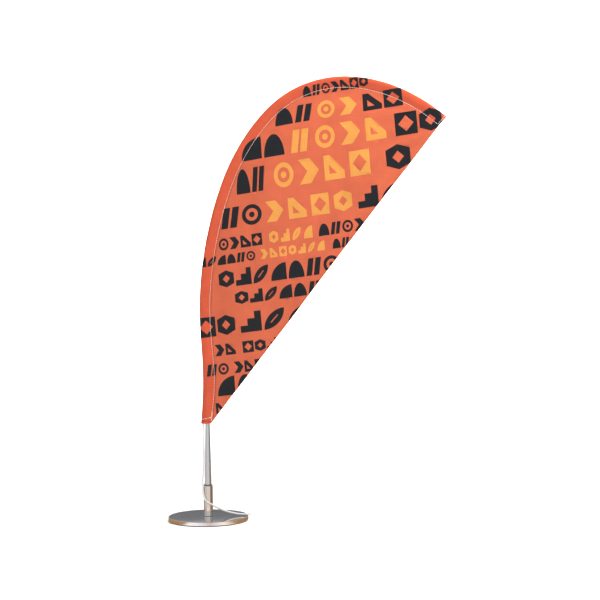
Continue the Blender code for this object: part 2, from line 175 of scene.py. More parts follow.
# Painted reflections: a glowing ring painted with the tones of a table and wall, which bright
# metal mirrors. Tones at angles in degrees, from the camera's side of the mast and positive to
# the camera's right, then distances and heights
RING_PROFILE = ((0.0402, 0.0004), (0.9, 0.0004), (0.9, 1.4))
RING_SIDES = 96
RING_GLOW = 1.7
NEAR_TONES = (
    (-180, "6B6E73"), (-110, "84684C"), (-74, "AE7C46"), (-57, "A67B52"), (-42, "B08C6E"),
    (-32, "FEF3E6"), (-17, "FBF0ED"), (-6, "EADAD7"), (7, "D3BBAF"), (18, "ECD6CB"),
    (30, "FFEFE0"), (41, "F0CFAF"), (54, "B3824F"), (74, "A87848"), (110, "84684C"),
    (180, "6B6E73"))
FAR_TONES = (
    (-180, "5C5E62"), (-150, "767069"), (-118, "857E77"), (-76, "BDB7B1"), (-45, "B2B1B0"),
    (-16, "C9C6C4"), (11, "C0BCBA"), (38, "D0CAC5"), (50, "93806E"), (87, "735E48"),
    (136, "746657"), (160, "5C5E62"), (180, "5C5E62"))
FAR_START = {"From Min": 0.06, "From Max": 0.09}
WALL_START = {"From Min": 0.162, "From Max": 0.166}
# Painted reflection of a pale wall, shown by the steel's top
WALL_REFLECTION_TONE = "A9A9AB"
COLOUR_FADE = {"From Min": 0.25, "From Max": 0.5, "To Min": 1.0, "To Max": 0.12}


def from_hex(code):
    """Linear red, green and blue of an sRGB hex colour."""
    parts = [int(code[i:i + 2], 16) / 255 for i in (0, 2, 4)]
    return tuple(p / 12.92 if p <= 0.04045 else ((p + 0.055) / 1.055) ** 2.4 for p in parts)


def colour(label, code, description):
    return FloatVectorProperty(name=label, description=description, subtype='COLOR', size=3,
                               min=0.0, max=1.0, default=from_hex(code))


def metres(label, default, description):
    return FloatProperty(name=label, description=description, default=default, unit='LENGTH')


# Settings ------------------------------------------------------------------------------

class ClothSettings(PropertyGroup):
    ground: colour("Ground", "CC6040", "Orange that the flag is dyed")
    sleeve: colour("Sleeve", "CB5233", "Deeper orange where two layers lie together")
    dark_ink: colour("Dark ink", "191C20", "Charcoal of the dark shapes")
    light_ink: colour("Light ink", "DD9545", "Amber of the light shapes")
    thread: colour("Thread", "EDD2C5", "Polyester sewing thread")
    thickness: metres("Thickness", 0.35 * MM, "Thickness of one layer of the knit")
    belly: metres("Belly", 2.2 * MM, "How far the middle stands forward")
    stitch: metres("Stitch", 2.6 * MM, "Length of one stitch")
    thread_width: metres("Thread width", 0.46 * MM, "Width of a laid stitch")


class CordSettings(PropertyGroup):
    colour: colour("Cord", "E4E0DC", "White braided cover of the elastic")
    braid_pitch: metres("Braid pitch", 2.2 * MM, "Length of one crossing of the braid")
    strands: IntProperty(name="Strands", description="Strands that run each way round", default=4)


class StandSettings(PropertyGroup):
    steel: colour("Steel", "C9CBD0", "Polished stainless steel of the base")
    chrome: colour("Chrome", "DAD2CC", "Bright chrome on the socket")
    aluminium: colour("Aluminium", "CFCFD2", "Drawn aluminium of the mast")
    brass: colour("Brass", "C29A52", "Brass of the ferrule")
    nylon: colour("Nylon", "1B1B1D", "Black moulded nylon")
    bush: colour("Bush", "55514F", "Graphite-filled nylon of the bush")
    fibre: colour("Fibre", "DAD8CC", "Glass fibre of the rod")


class StageSettings(PropertyGroup):
    floor: colour("Floor", "F7F7F6", "Floor and wall")
    distance: metres("Distance", 1.3, "Camera to the mast")
    azimuth: FloatProperty(name="Azimuth", description="Camera's angle round the mast",
                           default=math.radians(14), subtype='ANGLE')
    height: metres("Height", 0.2198, "Camera above the floor")
    aside: metres("Aside", 0.094, "Camera's shift to the right of the mast")
    roll: FloatProperty(name="Roll", description="Camera's lean", default=math.radians(0.6),
                        subtype='ANGLE')
    lens: FloatProperty(name="Lens", description="Focal length in millimetres", default=77.8)


class FlagSettings(PropertyGroup):
    cloth: PointerProperty(type=ClothSettings)
    cord: PointerProperty(type=CordSettings)
    stand: PointerProperty(type=StandSettings)
    stage: PointerProperty(type=StageSettings)


# Materials -----------------------------------------------------------------------------

def add(tree, kind, inputs=None, **settings):
    """Add a shader node: `settings` are its properties, `inputs` its sockets' values or links."""
    made = tree.nodes.new("ShaderNode" + kind)
    for name, value in settings.items():
        setattr(made, name, value)
    for name, value in (inputs or {}).items():
        if isinstance(value, bpy.types.NodeSocket):
            tree.links.new(value, made.inputs[name])
        else:
            made.inputs[name].default_value = value
    return made


def new_material(name, **sockets):
    """A material with a Principled shader; keywords set its sockets, with _ for a space."""
    made = bpy.data.materials.new(name)
    made.use_nodes = True
    shader = made.node_tree.nodes["Principled BSDF"]
    for label, value in sockets.items():
        words = label.replace("_", " ").title().replace("Ior", "IOR")
        shader.inputs[words].default_value = (*value, 1.0) if isinstance(value, tuple) else value
    return made, made.node_tree, shader


def shaded(tree, shader, factor, low, high):
    """Base colour that runs from `low` to `high` with a factor socket."""
    mix = add(tree, "Mix", {"Factor": factor, "A": (*low, 1), "B": (*high, 1)}, data_type='RGBA')
    tree.links.new(mix.outputs["Result"], shader.inputs["Base Color"])


def scaled(rgb, factor):
    return tuple(min(part * factor, 1.0) for part in rgb)


def bands(period):
    """Wave texture scale for bands of this period."""
    return 2 * math.pi / 20 / period


def place_of(tree, stretch=(1, 1, 1)):
    """Position in the piece's own space, with each axis stretched."""
    where = add(tree, "TexCoord").outputs["Object"]
    return add(tree, "Mapping", {"Vector": where, "Scale": stretch}).outputs["Vector"]


def printed_polyester(name, ink):
    """Warp-knitted polyester, dye-printed: matt, a soft sheen, and colour that pools unevenly."""
    made, tree, shader = new_material(
        name, roughness=0.72, specular_ior_level=0.3, sheen_weight=0.35, sheen_roughness=0.45,
        sheen_tint=scaled(ink, 1.15))
    where = place_of(tree)
    knit = 1.7 * MM     # the real knit is 0.4 mm; drawn coarse enough to show
    wales = add(tree, "TexWave", {"Vector": where, "Scale": bands(knit), "Distortion": 0.6,
                                  "Detail": 1.0}, bands_direction='X')
    courses = add(tree, "TexWave", {"Vector": where, "Scale": bands(knit * 0.8),
                                    "Distortion": 0.6, "Detail": 1.0}, bands_direction='Z')
    loops = add(tree, "Math", {0: wales.outputs["Fac"], 1: courses.outputs["Fac"]},
                operation='MULTIPLY')
    pooling = add(tree, "TexNoise", {"Vector": where, "Scale": 1 / (20 * MM), "Detail": 4.0,
                                     "Roughness": 0.62})
    both = add(tree, "Mix", {"Factor": 0.3, "A": pooling.outputs["Fac"],
                             "B": loops.outputs["Value"]})
    shaded(tree, shader, both.outputs["Result"], scaled(ink, 0.72), scaled(ink, 1.22))
    bump = add(tree, "Bump", {"Strength": 0.35, "Distance": 0.12 * MM,
                              "Height": loops.outputs["Value"]})
    tree.links.new(bump.outputs["Normal"], shader.inputs["Normal"])
    return made


def sewing_thread(rgb):
    """Spun polyester thread: white, slightly glossy, twisted."""
    made, tree, shader = new_material("sewing_thread", roughness=0.55, sheen_weight=0.3)
    twist = add(tree, "TexWave", {"Vector": place_of(tree), "Scale": bands(0.5 * MM)},
                bands_direction='DIAGONAL')
    shaded(tree, shader, twist.outputs["Fac"], scaled(rgb, 0.88), scaled(rgb, 1.05))
    return made


def braided_cover(rgb):
    """Braided polyester over rubber: matt white with dull valleys between the strands."""
    made, tree, shader = new_material("braided_elastic", roughness=0.8, sheen_weight=0.3,
                                      specular_ior_level=0.3)
    fluff = add(tree, "TexNoise", {"Vector": place_of(tree), "Scale": 1 / (0.9 * MM),
                                   "Detail": 2.0})
    shaded(tree, shader, fluff.outputs["Fac"], scaled(rgb, 0.8), scaled(rgb, 1.05))
    return made


def polished_metal(name, rgb, roughness, grain, stretch, depth):
    """Bright metal with the fine marks of its polishing wheel or drawing die."""
    made, tree, shader = new_material(name, metallic=1.0, roughness=roughness)
    marks = add(tree, "TexNoise", {"Vector": place_of(tree, stretch), "Scale": 1 / grain,
                                   "Detail": 2.0})
    shaded(tree, shader, marks.outputs["Fac"], scaled(rgb, 0.92), scaled(rgb, 1.04))
    smudge = add(tree, "TexNoise", {"Vector": place_of(tree), "Scale": 1 / (14 * MM),
                                    "Detail": 3.0})
    gloss = add(tree, "MapRange", {"Value": smudge.outputs["Fac"], "To Min": roughness * 0.75,
                                   "To Max": roughness * 1.35})
    tree.links.new(gloss.outputs["Result"], shader.inputs["Roughness"])
    bump = add(tree, "Bump", {"Strength": 0.3, "Distance": depth, "Height": marks.outputs["Fac"]})
    tree.links.new(bump.outputs["Normal"], shader.inputs["Normal"])
    return made


def moulded(name, rgb, roughness, grain, depth):
    """Moulded plastic or foam with a fine grain left by the tool."""
    made, tree, shader = new_material(name, roughness=roughness)
    spots = add(tree, "TexNoise", {"Vector": place_of(tree), "Scale": 1 / grain, "Detail": 2.0})
    shaded(tree, shader, spots.outputs["Fac"], scaled(rgb, 0.8), scaled(rgb, 1.25))
    bump = add(tree, "Bump", {"Strength": 0.4, "Distance": depth, "Height": spots.outputs["Fac"]})
    tree.links.new(bump.outputs["Normal"], shader.inputs["Normal"])
    return made


# Mesh helpers --------------------------------------------------------------------------

def put_object(name, mesh, materials, smooth=True):
    for item in materials:
        mesh.materials.append(item)
    if smooth:
        mesh.shade_smooth()
    made = bpy.data.objects.new(name, mesh)
    bpy.context.scene.collection.objects.link(made)
    return made


def mesh_object(name, bm, materials, smooth=True):
    mesh = bpy.data.meshes.new(name)
    bm.to_mesh(mesh)
    bm.free()
    return put_object(name, mesh, materials, smooth)


def skin(bm, rings, closed=False):
    """Walls of faces through equal rings of points; returns the rings' corners."""
    made = [[bm.verts.new(point) for point in ring] for ring in rings]
    sides = len(made[0])
    for near, far in zip(made, made[1:] + made[:1] if closed else made[1:]):
        for i in range(sides):
            j = (i + 1) % sides
            bm.faces.new((near[i], near[j], far[j], far[i]))
    return made


def tube(bm, rings, closed=False):
    """Skin the rings; an open tube gets a flat end at each end."""
    made = skin(bm, rings, closed)
    if not closed:
        bm.faces.new(list(reversed(made[0])))
        bm.faces.new(made[-1])


def frames_along(points, closed=False):
    """Two cross directions at each point, carried along without twist."""
    count = len(points)
    found = []
    side = None
    for i, point in enumerate(points):
        before = points[i - 1] if i > 0 or closed else point
        after = points[(i + 1) % count] if i < count - 1 or closed else point
        tangent = (after - before).normalized()
        side = tangent.orthogonal() if side is None else side - tangent * side.dot(tangent)
        side.normalize()
        found.append((side.copy(), tangent.cross(side)))
    return found


def round_tube(bm, points, radii, sides, closed=False):
    """A tube with a round ring at each point, each with its own radius."""
    turns = [2 * math.pi * i / sides for i in range(sides)]
    axes = frames_along(points, closed)
    tube(bm, [[point + (side * math.cos(a) + up * math.sin(a)) * radius for a in turns]
              for point, (side, up), radius in zip(points, axes, radii)], closed)


def smooth_value(values, share):
    """Read a smooth curve through evenly spaced values, share running from 0 to 1."""
    spans = len(values) - 1
    span = min(int(share * spans), spans - 1)
    t = share * spans - span
    start, end = values[span], values[span + 1]
    slope_in = (end - values[span - 1]) / 2 if span > 0 else end - start
    slope_out = (values[span + 2] - start) / 2 if span < spans - 1 else end - start
    return (start * (2 * t**3 - 3 * t**2 + 1) + end * (3 * t**2 - 2 * t**3)
            + slope_in * (t**3 - 2 * t**2 + t) + slope_out * (t**3 - t**2))


def ease(share):
    share = min(max(share, 0.0), 1.0)
    return share * share * (3 - 2 * share)


# Shape of the cloth --------------------------------------------------------------------

class Bend:
    """The line of the mast's top and the rod, with distances counted from the mast's top."""

    def __init__(self):
        steps = 440
        step = SLEEVE_LENGTH / steps
        place = Vector((0.0, MAST_TOP))
        self.step = step
        self.places = [place.copy()]
        self.headings = [math.radians(ROD_HEADINGS[0])]
        for i in range(steps):
            middle = math.radians(smooth_value(ROD_HEADINGS, (i + 0.5) / steps))
            place += Vector((math.sin(middle), math.cos(middle))) * step
            self.places.append(place.copy())
            self.headings.append(math.radians(smooth_value(ROD_HEADINGS, (i + 1) / steps)))
        below = int(OVERLAP / step) + 2
        self.line = np.array([(0.0, MAST_TOP - i * step) for i in range(below, 0, -1)]
                             + [tuple(p) for p in self.places])
        self.below = below

    def at(self, distance):
        """Place and inward direction, both in the (x, z) plane."""
        if distance <= 0:
            return Vector((0.0, MAST_TOP + distance)), Vector((1.0, 0.0))
        index = min(distance / self.step, len(self.places) - 1)
        low = min(int(index), len(self.places) - 2)
        place = self.places[low].lerp(self.places[low + 1], index - low)
        turn = self.headings[low + 1] - self.headings[low]
        heading = self.headings[low] + turn * (index - low)
        return place, Vector((math.cos(heading), -math.sin(heading)))

    def point(self, distance, inward, sideways=0.0):
        place, normal = self.at(distance)
        place = place + normal * inward
        return Vector((place.x, sideways, place.y))

    def measure(self, x, z):
        """Distance along the bend and inward offset of a point in the plane."""
        gaps = (self.line[:, 0] - x) ** 2 + (self.line[:, 1] - z) ** 2
        distance = (int(gaps.argmin()) - self.below) * self.step
        for _ in range(2):
            place, normal = self.at(distance)
            tangent = Vector((-normal.y, normal.x))
            distance += (Vector((x, z)) - place).dot(tangent)
            distance = min(max(distance, -OVERLAP), SLEEVE_LENGTH)
        place, normal = self.at(distance)
        return distance, (Vector((x, z)) - place).dot(normal)


def flared(run, hem, reach, distance):
    """An offset that goes from its value at the hem to the one it keeps past `reach`."""
    share = (distance + OVERLAP) / reach
    return run + (hem - run) * (1 - min(share, 1.0)) ** 2


def fold_at(distance):
    """From the axis out to the fold."""
    return flared(FOLD_RUN, FOLD_HEM, FOLD_FLARE, distance)


def seam_at(distance):
    """From the axis in to the seam."""
    return flared(SEAM_RUN, SEAM_HEM, SEAM_FLARE, distance)


def channel_at(distance):
    """Half of the sleeve's depth, to the middle of the cloth."""
    height = MAST_TOP + min(distance, 0.0)
    share = (height - BUSH_TOP) / (MAST_TOP - BUSH_TOP)
    on_mast = MAST_FOOT_RADIUS + (MAST_TOP_RADIUS - MAST_FOOT_RADIUS) * share + CHANNEL_PLAY
    closing = ease((SLEEVE_LENGTH - distance) / (14 * MM))
    full = on_mast + (CHANNEL_RUN - on_mast) * ease(distance / CHANNEL_TAPER)
    return SEAM_LAYER + (full - SEAM_LAYER) * closing


def sleeve_half(distance, inward):
    """How far the sleeve's cloth stands off the plane of the flag."""
    half = channel_at(distance)
    fold, seam = fold_at(distance), seam_at(distance)
    across = min(max((inward + fold) / (fold + seam), 0.0), 1.0)
    wave = math.sin(2 * math.pi * (1.9 * across + distance / CREASE_DRIFT)) ** 2
    fade = math.sin(math.pi * across) ** 2 * ease((SLEEVE_LENGTH - distance) / (30 * MM))
    crease = CREASE_DEPTH * wave * fade
    if inward < 0:
        return half * math.sqrt(max(0.0, 1 - (inward / fold) ** 2)) + crease
    share = min(inward / seam, 1.0)
    return SEAM_LAYER + (half - SEAM_LAYER) * (1 - share ** 2) ** 1.3 + crease


def mouth_loop(bend, distance, grow=0.0, slant=0.0):
    """Closed loop round the sleeve's cloth at a station, anticlockwise from above.

    `slant` lifts the loop at the seam.
    """
    shares = [-math.cos(math.radians(10 * i)) for i in range(10)] + [0.2, 0.4, 0.6, 0.8, 0.98]
    front = []
    back = []
    for share in shares:
        here = distance + slant * (share + 1) / 2
        inward = share * (fold_at(here) if share < 0 else seam_at(here))
        half = sleeve_half(here, inward) + grow
        front.append(bend.point(here, inward, -half))
        back.append(bend.point(here, inward, half))
    return front + list(reversed(back[1:]))


def on_sleeve(distance, inward):
    return inward <= seam_at(distance) + 1e-6


class Field:
    """The flat of the flag between the seam and its straight trailing edge."""

    def __init__(self, bend, belly):
        self.belly = belly
        top = bend.point(SLEEVE_LENGTH, seam_at(SLEEVE_LENGTH))
        low = bend.point(-OVERLAP, seam_at(-OVERLAP))
        self.top = Vector((top.x, top.z))
        self.low = Vector((low.x, low.z))
        self.along = (self.top - self.low).normalized()
        self.length = (self.top - self.low).length

    def sideways(self, x, z, distance, inward):
        """Y of the cloth's middle: a soft belly, pulls from both corners and a lazy edge."""
        here = Vector((x, z))
        from_low = here - self.low
        run = from_low.dot(self.along)
        from_edge = abs(from_low.cross(self.along))
        off_seam = max(inward - seam_at(distance), 0.0)
        hold = ease(off_seam / (26 * MM))
        belly = self.belly * hold * (0.35 + 0.65 * ease(from_edge / (60 * MM)))
        lazy = LAZY_EDGE * math.sin(run / (46 * MM)) * math.exp(-from_edge / (24 * MM)) * hold
        pulls = 0.0
        for corner, turn in ((self.top, 17.0), (self.low, 13.0)):
            reach = here - corner
            angle = math.atan2(reach.y, reach.x)
            fade = math.exp(-reach.length / (80 * MM)) * ease(reach.length / (22 * MM))
            pulls += CORNER_PULL * math.sin(angle * turn) * fade
        drift = noise.noise(Vector((x, 0.0, z)) / (52 * MM)) * DRIFT * hold
        ripple = noise.noise(Vector((x * 2.2, 3.0, z * 0.7)) / (24 * MM)) * RIPPLE * hold
        return -SEAM_LAYER - belly + (lazy + drift + ripple + pulls * ease(off_seam / (8 * MM)))


# Printed shapes, each drawn in a unit square. A shape is a list of outlines; an outline
# marked False is a hole in the ones before it.

def round_part(centre, radius, start, end, steps):
    angles = [math.radians(start + (end - start) * i / steps) for i in range(steps + 1)]
    return [(centre[0] + radius * math.cos(a), centre[1] + radius * math.sin(a)) for a in angles]


SHAPES = (
    # dome
    [(True, [(x, y * 2) for x, y in round_part((0.5, 0), 0.5, 0, 180, 18)])],
    # slashes
    [(True, [(x, 0), (x + 0.34, 0), (x + 0.34 + 0.2, 1), (x + 0.2, 1)]) for x in (0.0, 0.46)],
    # target
    [(True, round_part((0.5, 0.5), 0.5, 0, 345, 23)),
     (False, round_part((0.5, 0.5), 0.31, 0, 340, 17)),
     (True, round_part((0.5, 0.5), 0.14, 0, 330, 11))],
    # chevron
    [(True, [(0, 0), (0.58, 0), (1, 0.5), (0.58, 1), (0, 1), (0.42, 0.5)])],
    # wedge
    [(True, [(0, 0), (1, 0), (1, 0.3), (0.3, 1), (0, 1)]),
     (False, [(0.24, 0.24), (0.62, 0.24), (0.24, 0.62)])],
    # frame round a diamond
    [(True, [(0, 0), (1, 0), (1, 1), (0, 1)]),
     (False, [(0.5, 0.15), (0.85, 0.5), (0.5, 0.85), (0.15, 0.5)])],
    # nut
    [(True, [(0.5, 0), (1, 0.2), (1, 0.8), (0.5, 1), (0, 0.8), (0, 0.2)]),
     (False, [(0.5, 0.26), (0.74, 0.5), (0.5, 0.74), (0.26, 0.5)])],
    # steps
    [(True, [(0, 0), (1, 0), (1, 1), (0.68, 1), (0.68, 0.66), (0.34, 0.66), (0.34, 0.33),
             (0, 0.33)])],
    # leaf
    [(True, round_part((1, 0), 1, 180, 90, 10) + round_part((0, 1), 1, 0, -90, 10)[1:-1]),
     (False, [(0.34, 0.3), (0.7, 0.66), (0.66, 0.7), (0.3, 0.34)])],
    # quarter
    [(True, [(1, 0)] + round_part((1, 0), 1, 90, 180, 12))],
)


def print_outlines():
    """Every printed outline in the (x, z) plane, as (ink, points); a hole has ink 0."""
    row, stem = math.radians(ROW_SLANT), math.radians(STEM_SLANT)
    along = Vector((math.cos(row), math.sin(row))) * MM
    up = Vector((-math.sin(stem), math.cos(stem))) * MM
    found = []
    turn = 0
    for foot, height, groups in PRINT_ROWS:
        for start, end, count, ink in groups:
            fill = SHAPE_FILL[ink]
            pitch = (end - start) / (count - 1 + fill)
            for i in range(count):
                for solid, outline in SHAPES[turn % len(SHAPES)]:
                    points = [along * (start + pitch * (i + fill * x)) + up * (foot + height * y)
                              for x, y in outline]
                    found.append((ink if solid else 0, points))
                turn += 1
        turn += ROW_TURN
    return found


def close_points(bend, points):
    """The outline with close points where it lies on the sleeve, to follow its curve."""
    found = []
    for a, b in zip(points, points[1:] + points[:1]):
        found.append(a)
        ends = (bend.measure(*a), bend.measure(*b))
        if any(inward < seam_at(distance) for distance, inward in ends):
            count = int((b - a).length / OUTLINE_STEP) + 1
            found += [a.lerp(b, i / count) for i in range(1, count)]
    return found


def cut_cloth(bend):
    """Triangles of the flat cut in the plane, each with its ink and its part of the flag.

    Returns the points, and faces as (corners, ink, on the sleeve, under the folded margin).
    """
    count = round((SLEEVE_LENGTH + OVERLAP) / SLEEVE_STEP)
    stations = [-OVERLAP + (SLEEVE_LENGTH + OVERLAP) * i / count for i in range(count + 1)]

    def line(offset):
        return [bend.point(d, offset(d)).xz for d in stations]

    fold = line(lambda d: -fold_at(d))
    seam = line(seam_at)
    margin = line(lambda d: seam_at(d) + SEAM_MARGIN)
    loose = []
    for d in stations[1:-1]:
        inwards = [-fold_at(d) * math.cos(math.radians(a)) for a in (20, 40, 58, 74, 90)]
        inwards += [seam_at(d) * share for share in (0.22, 0.44, 0.66, 0.85)]
        loose += [bend.point(d, inward).xz for inward in inwards]

    low_x, high_x = 0.0, max(p.x for p in seam)
    low_z, high_z = HEM, max(p.y for p in seam)
    rows = int((high_z - low_z) / (FIELD_STEP * FIELD_ROW)) + 1
    columns = int((high_x - low_x) / FIELD_STEP) + 1
    edge = (seam[-1] - seam[0]).normalized()
    for i in range(rows):
        for j in range(columns):
            spot = Vector((low_x + (j + 0.5 * (i % 2)) * FIELD_STEP,
                           low_z + i * FIELD_STEP * FIELD_ROW))
            if edge.cross(spot - seam[0]) < FIELD_GAP:
                continue
            distance, inward = bend.measure(*spot)
            if inward > seam_at(distance) + SEAM_MARGIN + FIELD_GAP:
                loose.append(spot)

    verts = []
    faces = []

    def add_face(points):
        """The cutter takes an outline's inside to be on its left."""
        turns = sum(a.cross(b) for a, b in zip(points, points[1:] + points[:1]))
        faces.append(list(range(len(verts), len(verts) + len(points))))
        verts.extend(p / MM for p in (points if turns > 0 else reversed(points)))

    whole, sleeve, under, first_shape = range(4)
    add_face(fold + [seam[-1], seam[0]])
    add_face(fold + list(reversed(seam)))
    add_face(seam + list(reversed(margin)))
    shapes = print_outlines()
    for _, points in shapes:
        add_face(close_points(bend, points))
    verts.extend(p / MM for p in loose)
    points, _, triangles, _, _, owners = delaunay_2d_cdt(verts, [], faces, 0, CUT_NEAR)

    cut = []
    for corners, owner in zip(triangles, owners):
        if not (whole in owner or sleeve in owner):
            continue
        inks = [shapes[i - first_shape][0] for i in sorted(owner) if i >= first_shape]
        cut.append((corners, inks[-1] if inks else 0, sleeve in owner, under in owner))
    return [Vector(p) * MM for p in points], cut


def solidify(made, thickness):
    layer = made.modifiers.new("cloth", 'SOLIDIFY')
    layer.thickness = thickness
    layer.offset = 0.0


def settings():
    return bpy.context.scene.teardrop_flag


# Operators -----------------------------------------------------------------------------

class FLAG_OT_stage(Operator):
    """Camera, soft lights, pale floor and wall"""
    bl_idname = "flag.stage"
    bl_label = "Stage"

    def execute(self, context):
        stage = settings().stage
        self.add_camera(context, stage)
        self.add_room(context, stage)
        self.add_reflections(stage)
        self.add_lights(context)
        return {'FINISHED'}

    def add_camera(self, context, stage):
        right = Vector((math.cos(stage.azimuth), math.sin(stage.azimuth), 0))
        ahead = Vector((-math.sin(stage.azimuth), math.cos(stage.azimuth), 0))
        data = bpy.data.cameras.new("camera")
        data.lens = stage.lens
        data.sensor_width = 36
        data.clip_start = 0.01
        camera = bpy.data.objects.new("camera", data)
        context.scene.collection.objects.link(camera)
        upright = Matrix((right, Vector((0, 0, 1)), -ahead)).transposed()
        lean = Matrix.Rotation(-stage.roll, 3, 'Z')
        place = right * stage.aside - ahead * stage.distance + Vector((0, 0, stage.height))
        camera.matrix_world = Matrix.Translation(place) @ (upright @ lean).to_4x4()
        context.scene.camera = camera

    def add_room(self, context, stage):
        made, tree, shader = new_material("matt_paper", roughness=0.9, specular_ior_level=0.1)
        tooth = add(tree, "TexNoise", {"Vector": place_of(tree), "Scale": 3.0})
        shaded(tree, shader, tooth.outputs["Fac"], scaled(stage.floor, 0.985), tuple(stage.floor))
        bm = bmesh.new()
        start = ROOM_BACK - ROOM_BEND
        profile = [(ROOM_FRONT, 0.0), (start, 0.0)]
        profile += [(start + ROOM_BEND * math.sin(a), ROOM_BEND - ROOM_BEND * math.cos(a))
                    for a in [math.radians(10 * i) for i in range(1, 10)]]
        profile.append((ROOM_BACK, ROOM_TOP))
        rows = [[bm.verts.new((x, y, z)) for x in (-ROOM_HALF, ROOM_HALF)] for y, z in profile]
        for near, far in zip(rows, rows[1:]):
            bm.faces.new((near[0], near[1], far[1], far[0]))
        room = mesh_object("paper_sweep", bm, [made])

    def add_reflections(self, stage):
        """What the bright metal mirrors: a glowing ring painted with the tones of a table and
        wall, which only reflections see and which gives the metal its painted reflections.

        The steel's rim mirrors the near ring, the socket the next of it, the mast the far
        part and the steel's top the wall.
        """
        made = bpy.data.materials.new("painted_reflection_glow")
        made.use_nodes = True
        tree = made.node_tree
        tree.nodes.clear()
        spot = add(tree, "TexCoord").outputs["Object"]
        turn = add(tree, "TexGradient", {"Vector": spot}, gradient_type='RADIAL').outputs["Fac"]
        reach = add(tree, "VectorMath", {0: spot}, operation='LENGTH').outputs["Value"]
        step = add(tree, "MapRange", {"Value": reach, **FAR_START})
        table = add(tree, "Mix", {"Factor": step.outputs["Result"],
                                  "A": self.ring_tones(tree, turn, NEAR_TONES),
                                  "B": self.ring_tones(tree, turn, FAR_TONES)},
                    data_type='RGBA')
        height = add(tree, "SeparateXYZ", {"Vector": spot}).outputs["Z"]
        above = add(tree, "MapRange", {"Value": height, **WALL_START})
        tones = add(tree, "Mix", {"Factor": above.outputs["Result"],
                                  "A": table.outputs["Result"],
                                  "B": (*from_hex(WALL_REFLECTION_TONE), 1)}, data_type='RGBA')
        plain_far = add(tree, "MapRange", {"Value": reach, **COLOUR_FADE})
        shown = add(tree, "HueSaturation", {"Saturation": plain_far.outputs["Result"],
                                            "Color": tones.outputs["Result"]})
        # The glow carries the painted table and wall tones that bright metal shows as painted
        # reflections
        glow = add(tree, "Emission", {"Color": shown.outputs["Color"], "Strength": RING_GLOW})
        add(tree, "OutputMaterial", {"Surface": glow.outputs["Emission"]})
        bm = bmesh.new()
        turns = [2 * math.pi * i / RING_SIDES for i in range(RING_SIDES)]
        skin(bm, [[(r * math.cos(a), r * math.sin(a), z) for a in turns]
                  for r, z in RING_PROFILE])
        ring = mesh_object("mirrored_ring", bm, [made], smooth=False)
        ring.rotation_euler = (0, 0, stage.azimuth - math.pi / 2)   # 0 degrees at the camera
        for kind in ("camera", "diffuse", "shadow", "transmission"):
            setattr(ring, "visible_" + kind, False)

    def ring_tones(self, tree, turn, tones):
        """Colours round the ring, each at its angle in degrees."""
        made = add(tree, "ValToRGB", {"Fac": turn})
        ramp = made.color_ramp
        while len(ramp.elements) < len(tones):
            ramp.elements.new(0.5)
        for stop, (angle, code) in zip(ramp.elements, tones):
            stop.position = 0.5 + angle / 360
            stop.color = (*from_hex(code), 1.0)
        return made.outputs["Color"]

    def add_lights(self, context):
        world = bpy.data.worlds.new("soft_room")
        world.use_nodes = True
        sky = world.node_tree.nodes["Background"]
        sky.inputs["Color"].default_value = (1, 1, 1, 1)
        sky.inputs["Strength"].default_value = ROOM_GLOW
        context.scene.world = world
        context.scene.view_settings.view_transform = 'Standard'
        for row in LAMPS:
            self.add_area(*row)

    def add_area(self, name, place, target, size, power, spread):
        data = bpy.data.lights.new(name, 'AREA')
        data.shape = 'DISK'
        data.size = size
        data.energy = power
        data.spread = math.radians(spread)
        lamp = bpy.data.objects.new(name, data)
        bpy.context.scene.collection.objects.link(lamp)
        lamp.location = place
        lamp.visible_glossy = False     # the mirrored ring stands in for the lamps
        aim = Vector(target) - Vector(place)
        lamp.rotation_euler = aim.to_track_quat('-Z', 'Y').to_euler()


